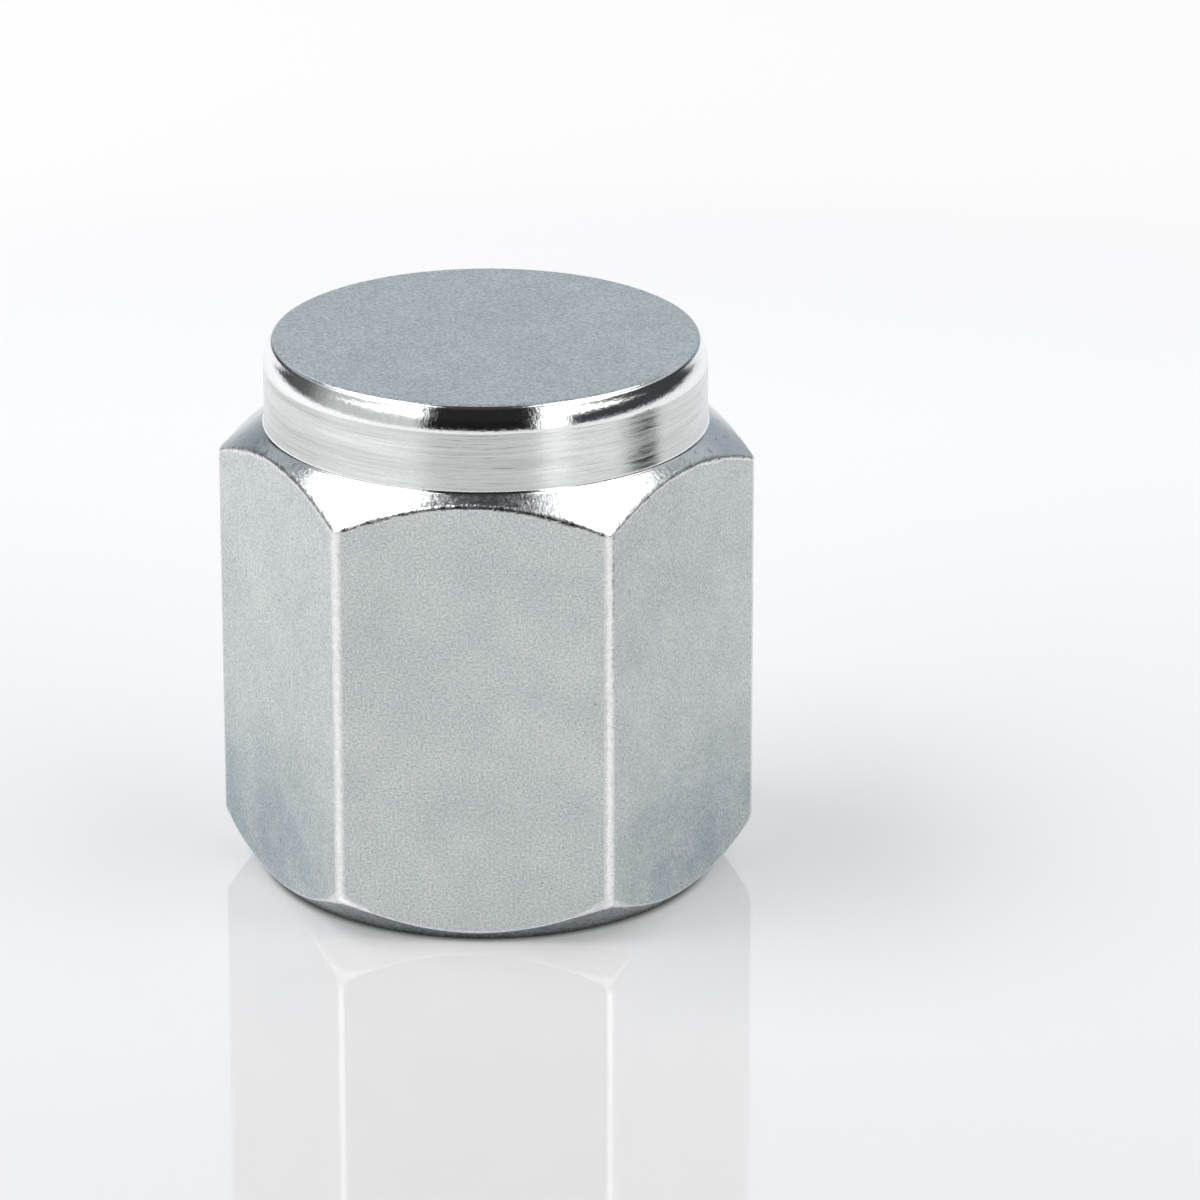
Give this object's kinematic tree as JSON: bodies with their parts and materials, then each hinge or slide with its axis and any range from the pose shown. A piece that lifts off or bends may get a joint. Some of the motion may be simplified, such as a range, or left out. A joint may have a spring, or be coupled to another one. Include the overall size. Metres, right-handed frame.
{
  "type": "tyre valve cap",
  "caption": "Hexagonal metal tyre valve cap: chamfered hexagon body with a round turned boss, a blind threaded bore and a rubber sealing washer inside.",
  "frame": {"origin": "centre of the open end face, on which the cap stands", "axes": "+Z along the thread's axis towards the closed end; one flat of the hexagon faces -Y and two corners lie on the X axis"},
  "size_m": [0.0126, 0.011, 0.0131],
  "materials": {
    "plated_steel": "bright plating, matte on the drawn flats and the flat top, bright where turned",
    "washer_rubber": "matte black rubber"
  },
  "bodies": {
    "root": {"cap_body": "plated_steel", "sealing_washer": "washer_rubber"}
  },
  "joints": []
}
